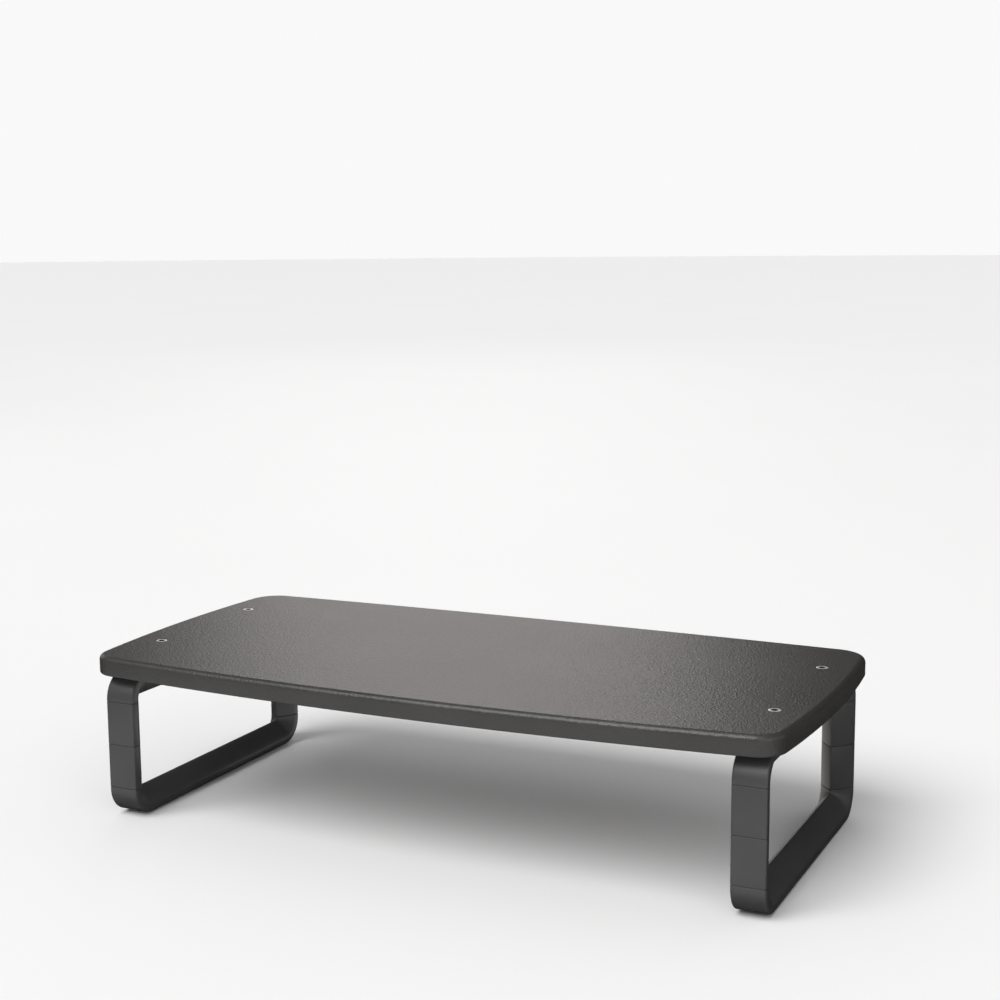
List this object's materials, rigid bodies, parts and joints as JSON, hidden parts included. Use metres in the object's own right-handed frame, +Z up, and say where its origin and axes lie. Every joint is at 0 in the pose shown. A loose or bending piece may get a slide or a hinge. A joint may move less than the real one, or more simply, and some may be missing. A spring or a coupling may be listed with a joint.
{
  "type": "monitor riser",
  "caption": "Wide monitor riser: a bow-edged board on closed-loop legs built of push-fit stacked column modules, with an open bay underneath for a keyboard.",
  "frame": {"origin": "middle of the board's outline, on the surface that the foot pads stand on", "axes": "+X to the right along the board's long side, +Y to the back, +Z up"},
  "size_m": [0.61, 0.294, 0.142],
  "materials": {
    "board_lacquer": "engineered wood core under a fine-textured charcoal lacquer",
    "leg_plastic": "charcoal moulded plastic, satin with a very fine grain",
    "bolt_steel": "zinc plated steel, bright",
    "insert_brass": "plain machined",
    "foot_rubber": "matt black"
  },
  "bodies": {
    "riser_top": {"top_board": "board_lacquer", "left_top_frame": "leg_plastic", "right_top_frame": "leg_plastic", "left_front_bolt": "bolt_steel", "left_rear_bolt": "bolt_steel", "right_front_bolt": "bolt_steel", "right_rear_bolt": "bolt_steel", "left_front_insert": "insert_brass", "left_rear_insert": "insert_brass", "right_front_insert": "insert_brass", "right_rear_insert": "insert_brass"},
    "left_upper_tier": {"left_front_upper_spacer": "leg_plastic", "left_rear_upper_spacer": "leg_plastic"},
    "left_lower_tier": {"left_front_lower_spacer": "leg_plastic", "left_rear_lower_spacer": "leg_plastic"},
    "left_foot": {"left_foot_frame": "leg_plastic", "left_front_foot_pad": "foot_rubber", "left_rear_foot_pad": "foot_rubber"},
    "right_upper_tier": {"right_front_upper_spacer": "leg_plastic", "right_rear_upper_spacer": "leg_plastic"},
    "right_lower_tier": {"right_front_lower_spacer": "leg_plastic", "right_rear_lower_spacer": "leg_plastic"},
    "right_foot": {"right_foot_frame": "leg_plastic", "right_front_foot_pad": "foot_rubber", "right_rear_foot_pad": "foot_rubber"}
  },
  "joints": [
    {"name": "left_top_seam", "type": "slide", "parent": "riser_top", "child": "left_upper_tier", "axis": [0, 0, -1], "range_m": [0, 0.016]},
    {"name": "left_middle_seam", "type": "slide", "parent": "left_upper_tier", "child": "left_lower_tier", "axis": [0, 0, -1], "range_m": [0, 0.016]},
    {"name": "left_bottom_seam", "type": "slide", "parent": "left_lower_tier", "child": "left_foot", "axis": [0, 0, -1], "range_m": [0, 0.016]},
    {"name": "right_top_seam", "type": "slide", "parent": "riser_top", "child": "right_upper_tier", "axis": [0, 0, -1], "range_m": [0, 0.016]},
    {"name": "right_middle_seam", "type": "slide", "parent": "right_upper_tier", "child": "right_lower_tier", "axis": [0, 0, -1], "range_m": [0, 0.016]},
    {"name": "right_bottom_seam", "type": "slide", "parent": "right_lower_tier", "child": "right_foot", "axis": [0, 0, -1], "range_m": [0, 0.016]}
  ]
}
